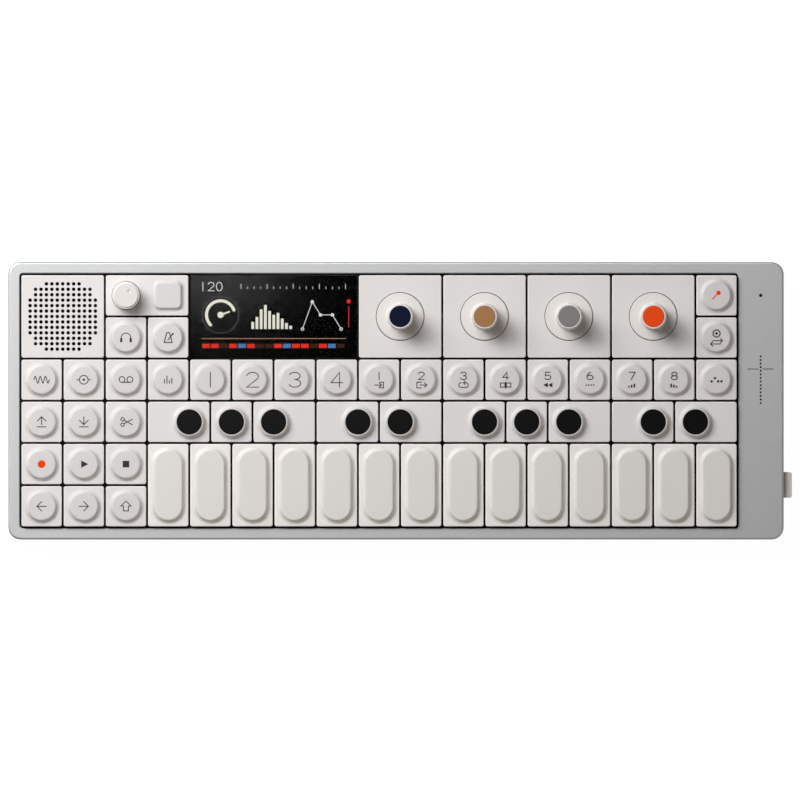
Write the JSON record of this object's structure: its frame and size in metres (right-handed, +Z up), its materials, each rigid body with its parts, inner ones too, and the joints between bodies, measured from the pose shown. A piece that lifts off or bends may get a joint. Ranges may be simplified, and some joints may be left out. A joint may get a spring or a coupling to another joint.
{
  "type": "portable synthesizer",
  "caption": "Slim desktop synthesizer: milled case, a square grid of round buttons and piano keys, tall turning controls, a glass display and a speaker grille.",
  "frame": {"origin": "centre of the overall footprint, on the surface that the feet stand on", "axes": "+X towards the right-hand end with the sockets, +Y to the rear (the display side), +Z up"},
  "size_m": [0.288, 0.102, 0.029],
  "materials": {
    "case_aluminium": "bead-blasted, light anodised",
    "cover_aluminium": "bead-blasted, anodised",
    "screw_steel": "plain steel",
    "foot_rubber": "matt",
    "cell_foil": "foil pouch",
    "board_laminate": "solder mask",
    "driver_black": "paper cone and steel basket",
    "socket_black": "moulded",
    "socket_steel": "drawn shell",
    "slider_grey": "moulded",
    "meter_black": "moulded light guide on a lamp strip",
    "control_steel": "zinc-plated housing",
    "mat_silicone": "silicone",
    "frame_black": "moulded",
    "display_black": "display panel in a black frame",
    "display_glass": "polished cover glass",
    "tile_grey": "fine moulded texture",
    "knob_grey": "fine moulded texture",
    "button_grey": "fine moulded texture",
    "white_key_grey": "fine moulded texture",
    "black_key_grey": "light tile with a near-black disc let in",
    "encoder_blue": "light grip with a dark blue cap",
    "encoder_ochre": "light grip with an ochre cap",
    "encoder_grey": "light grip with a mid grey cap",
    "encoder_orange": "light grip with an orange cap"
  },
  "bodies": {
    "case": {"upper_case": "case_aluminium", "bottom_cover": "cover_aluminium", "case_screws": "screw_steel", "rubber_feet": "foot_rubber", "battery_pack": "cell_foil", "circuit_board": "board_laminate", "speaker_driver": "driver_black", "audio_jacks": "socket_black", "usb_socket": "socket_steel", "switch_body": "socket_black", "meter_board": "meter_black", "encoder_bodies": "control_steel", "volume_pot": "control_steel", "key_mat": "mat_silicone", "key_guide_frame": "frame_black", "display_module": "display_black", "display_glass": "display_glass", "speaker_grille": "tile_grey", "volume_panel": "tile_grey", "encoder_panels": "tile_grey"},
    "blue_encoder": {"blue_encoder": "encoder_blue"},
    "ochre_encoder": {"ochre_encoder": "encoder_ochre"},
    "grey_encoder": {"grey_encoder": "encoder_grey"},
    "orange_encoder": {"orange_encoder": "encoder_orange"},
    "volume_knob": {"volume_knob": "knob_grey"},
    "power_slider": {"power_slider": "slider_grey"},
    "record_button": {"record_button": "button_grey"},
    "play_button": {"play_button": "button_grey"},
    "stop_button": {"stop_button": "button_grey"},
    "arrow_buttons": {"arrow_buttons": "button_grey"},
    "shift_button": {"shift_button": "button_grey"},
    "edit_buttons": {"edit_buttons": "button_grey"},
    "mode_buttons": {"mode_buttons": "button_grey"},
    "track_buttons": {"track_buttons": "button_grey"},
    "sound_buttons": {"sound_buttons": "button_grey"},
    "tool_buttons": {"tool_buttons": "button_grey"},
    "black_key_1": {"black_key_1": "black_key_grey"},
    "black_key_2": {"black_key_2": "black_key_grey"},
    "black_key_3": {"black_key_3": "black_key_grey"},
    "black_key_4": {"black_key_4": "black_key_grey"},
    "black_key_5": {"black_key_5": "black_key_grey"},
    "black_key_6": {"black_key_6": "black_key_grey"},
    "black_key_7": {"black_key_7": "black_key_grey"},
    "black_key_8": {"black_key_8": "black_key_grey"},
    "black_key_9": {"black_key_9": "black_key_grey"},
    "black_key_10": {"black_key_10": "black_key_grey"},
    "white_key_1": {"white_key_1": "white_key_grey"},
    "white_key_2": {"white_key_2": "white_key_grey"},
    "white_key_3": {"white_key_3": "white_key_grey"},
    "white_key_4": {"white_key_4": "white_key_grey"},
    "white_key_5": {"white_key_5": "white_key_grey"},
    "white_key_6": {"white_key_6": "white_key_grey"},
    "white_key_7": {"white_key_7": "white_key_grey"},
    "white_key_8": {"white_key_8": "white_key_grey"},
    "white_key_9": {"white_key_9": "white_key_grey"},
    "white_key_10": {"white_key_10": "white_key_grey"},
    "white_key_11": {"white_key_11": "white_key_grey"},
    "white_key_12": {"white_key_12": "white_key_grey"},
    "white_key_13": {"white_key_13": "white_key_grey"},
    "white_key_14": {"white_key_14": "white_key_grey"}
  },
  "joints": [
    {"name": "blue_encoder_turn", "type": "hinge", "parent": "case", "child": "blue_encoder", "pos_m": [0, 0.031, 0.0177], "axis": [0, 0, 1], "continuous": true},
    {"name": "ochre_encoder_turn", "type": "hinge", "parent": "case", "child": "ochre_encoder", "pos_m": [0.031, 0.031, 0.0177], "axis": [0, 0, 1], "continuous": true},
    {"name": "grey_encoder_turn", "type": "hinge", "parent": "case", "child": "grey_encoder", "pos_m": [0.062, 0.031, 0.0177], "axis": [0, 0, 1], "continuous": true},
    {"name": "orange_encoder_turn", "type": "hinge", "parent": "case", "child": "orange_encoder", "pos_m": [0.093, 0.031, 0.0177], "axis": [0, 0, 1], "continuous": true},
    {"name": "volume_turn", "type": "hinge", "parent": "case", "child": "volume_knob", "pos_m": [-0.10075, 0.03875, 0.0177], "axis": [0, 0, 1], "range_deg": [-140, 140]},
    {"name": "power_slide", "type": "slide", "parent": "case", "child": "power_slider", "axis": [0, 1, 0], "range_m": [0, 0.003]},
    {"name": "record_button_press", "type": "slide", "parent": "case", "child": "record_button", "axis": [0, 0, -1], "range_m": [0, 0.0013], "stiffness_N_per_m": 300, "springref_m": -0.001},
    {"name": "play_button_press", "type": "slide", "parent": "case", "child": "play_button", "axis": [0, 0, -1], "range_m": [0, 0.0013], "stiffness_N_per_m": 300, "springref_m": -0.001},
    {"name": "stop_button_press", "type": "slide", "parent": "case", "child": "stop_button", "axis": [0, 0, -1], "range_m": [0, 0.0013], "stiffness_N_per_m": 300, "springref_m": -0.001},
    {"name": "arrow_buttons_press", "type": "slide", "parent": "case", "child": "arrow_buttons", "axis": [0, 0, -1], "range_m": [0, 0.0013], "stiffness_N_per_m": 300, "springref_m": -0.001},
    {"name": "shift_button_press", "type": "slide", "parent": "case", "child": "shift_button", "axis": [0, 0, -1], "range_m": [0, 0.0013], "stiffness_N_per_m": 300, "springref_m": -0.001},
    {"name": "edit_buttons_press", "type": "slide", "parent": "case", "child": "edit_buttons", "axis": [0, 0, -1], "range_m": [0, 0.0013], "stiffness_N_per_m": 300, "springref_m": -0.001},
    {"name": "mode_buttons_press", "type": "slide", "parent": "case", "child": "mode_buttons", "axis": [0, 0, -1], "range_m": [0, 0.0013], "stiffness_N_per_m": 300, "springref_m": -0.001},
    {"name": "track_buttons_press", "type": "slide", "parent": "case", "child": "track_buttons", "axis": [0, 0, -1], "range_m": [0, 0.0013], "stiffness_N_per_m": 300, "springref_m": -0.001},
    {"name": "sound_buttons_press", "type": "slide", "parent": "case", "child": "sound_buttons", "axis": [0, 0, -1], "range_m": [0, 0.0013], "stiffness_N_per_m": 300, "springref_m": -0.001},
    {"name": "tool_buttons_press", "type": "slide", "parent": "case", "child": "tool_buttons", "axis": [0, 0, -1], "range_m": [0, 0.0013], "stiffness_N_per_m": 300, "springref_m": -0.001},
    {"name": "black_key_1_press", "type": "slide", "parent": "case", "child": "black_key_1", "axis": [0, 0, -1], "range_m": [0, 0.0013], "stiffness_N_per_m": 300, "springref_m": -0.001},
    {"name": "black_key_2_press", "type": "slide", "parent": "case", "child": "black_key_2", "axis": [0, 0, -1], "range_m": [0, 0.0013], "stiffness_N_per_m": 300, "springref_m": -0.001},
    {"name": "black_key_3_press", "type": "slide", "parent": "case", "child": "black_key_3", "axis": [0, 0, -1], "range_m": [0, 0.0013], "stiffness_N_per_m": 300, "springref_m": -0.001},
    {"name": "black_key_4_press", "type": "slide", "parent": "case", "child": "black_key_4", "axis": [0, 0, -1], "range_m": [0, 0.0013], "stiffness_N_per_m": 300, "springref_m": -0.001},
    {"name": "black_key_5_press", "type": "slide", "parent": "case", "child": "black_key_5", "axis": [0, 0, -1], "range_m": [0, 0.0013], "stiffness_N_per_m": 300, "springref_m": -0.001},
    {"name": "black_key_6_press", "type": "slide", "parent": "case", "child": "black_key_6", "axis": [0, 0, -1], "range_m": [0, 0.0013], "stiffness_N_per_m": 300, "springref_m": -0.001},
    {"name": "black_key_7_press", "type": "slide", "parent": "case", "child": "black_key_7", "axis": [0, 0, -1], "range_m": [0, 0.0013], "stiffness_N_per_m": 300, "springref_m": -0.001},
    {"name": "black_key_8_press", "type": "slide", "parent": "case", "child": "black_key_8", "axis": [0, 0, -1], "range_m": [0, 0.0013], "stiffness_N_per_m": 300, "springref_m": -0.001},
    {"name": "black_key_9_press", "type": "slide", "parent": "case", "child": "black_key_9", "axis": [0, 0, -1], "range_m": [0, 0.0013], "stiffness_N_per_m": 300, "springref_m": -0.001},
    {"name": "black_key_10_press", "type": "slide", "parent": "case", "child": "black_key_10", "axis": [0, 0, -1], "range_m": [0, 0.0013], "stiffness_N_per_m": 300, "springref_m": -0.001},
    {"name": "white_key_1_press", "type": "slide", "parent": "case", "child": "white_key_1", "axis": [0, 0, -1], "range_m": [0, 0.0013], "stiffness_N_per_m": 300, "springref_m": -0.001},
    {"name": "white_key_2_press", "type": "slide", "parent": "case", "child": "white_key_2", "axis": [0, 0, -1], "range_m": [0, 0.0013], "stiffness_N_per_m": 300, "springref_m": -0.001},
    {"name": "white_key_3_press", "type": "slide", "parent": "case", "child": "white_key_3", "axis": [0, 0, -1], "range_m": [0, 0.0013], "stiffness_N_per_m": 300, "springref_m": -0.001},
    {"name": "white_key_4_press", "type": "slide", "parent": "case", "child": "white_key_4", "axis": [0, 0, -1], "range_m": [0, 0.0013], "stiffness_N_per_m": 300, "springref_m": -0.001},
    {"name": "white_key_5_press", "type": "slide", "parent": "case", "child": "white_key_5", "axis": [0, 0, -1], "range_m": [0, 0.0013], "stiffness_N_per_m": 300, "springref_m": -0.001},
    {"name": "white_key_6_press", "type": "slide", "parent": "case", "child": "white_key_6", "axis": [0, 0, -1], "range_m": [0, 0.0013], "stiffness_N_per_m": 300, "springref_m": -0.001},
    {"name": "white_key_7_press", "type": "slide", "parent": "case", "child": "white_key_7", "axis": [0, 0, -1], "range_m": [0, 0.0013], "stiffness_N_per_m": 300, "springref_m": -0.001},
    {"name": "white_key_8_press", "type": "slide", "parent": "case", "child": "white_key_8", "axis": [0, 0, -1], "range_m": [0, 0.0013], "stiffness_N_per_m": 300, "springref_m": -0.001},
    {"name": "white_key_9_press", "type": "slide", "parent": "case", "child": "white_key_9", "axis": [0, 0, -1], "range_m": [0, 0.0013], "stiffness_N_per_m": 300, "springref_m": -0.001},
    {"name": "white_key_10_press", "type": "slide", "parent": "case", "child": "white_key_10", "axis": [0, 0, -1], "range_m": [0, 0.0013], "stiffness_N_per_m": 300, "springref_m": -0.001},
    {"name": "white_key_11_press", "type": "slide", "parent": "case", "child": "white_key_11", "axis": [0, 0, -1], "range_m": [0, 0.0013], "stiffness_N_per_m": 300, "springref_m": -0.001},
    {"name": "white_key_12_press", "type": "slide", "parent": "case", "child": "white_key_12", "axis": [0, 0, -1], "range_m": [0, 0.0013], "stiffness_N_per_m": 300, "springref_m": -0.001},
    {"name": "white_key_13_press", "type": "slide", "parent": "case", "child": "white_key_13", "axis": [0, 0, -1], "range_m": [0, 0.0013], "stiffness_N_per_m": 300, "springref_m": -0.001},
    {"name": "white_key_14_press", "type": "slide", "parent": "case", "child": "white_key_14", "axis": [0, 0, -1], "range_m": [0, 0.0013], "stiffness_N_per_m": 300, "springref_m": -0.001}
  ]
}
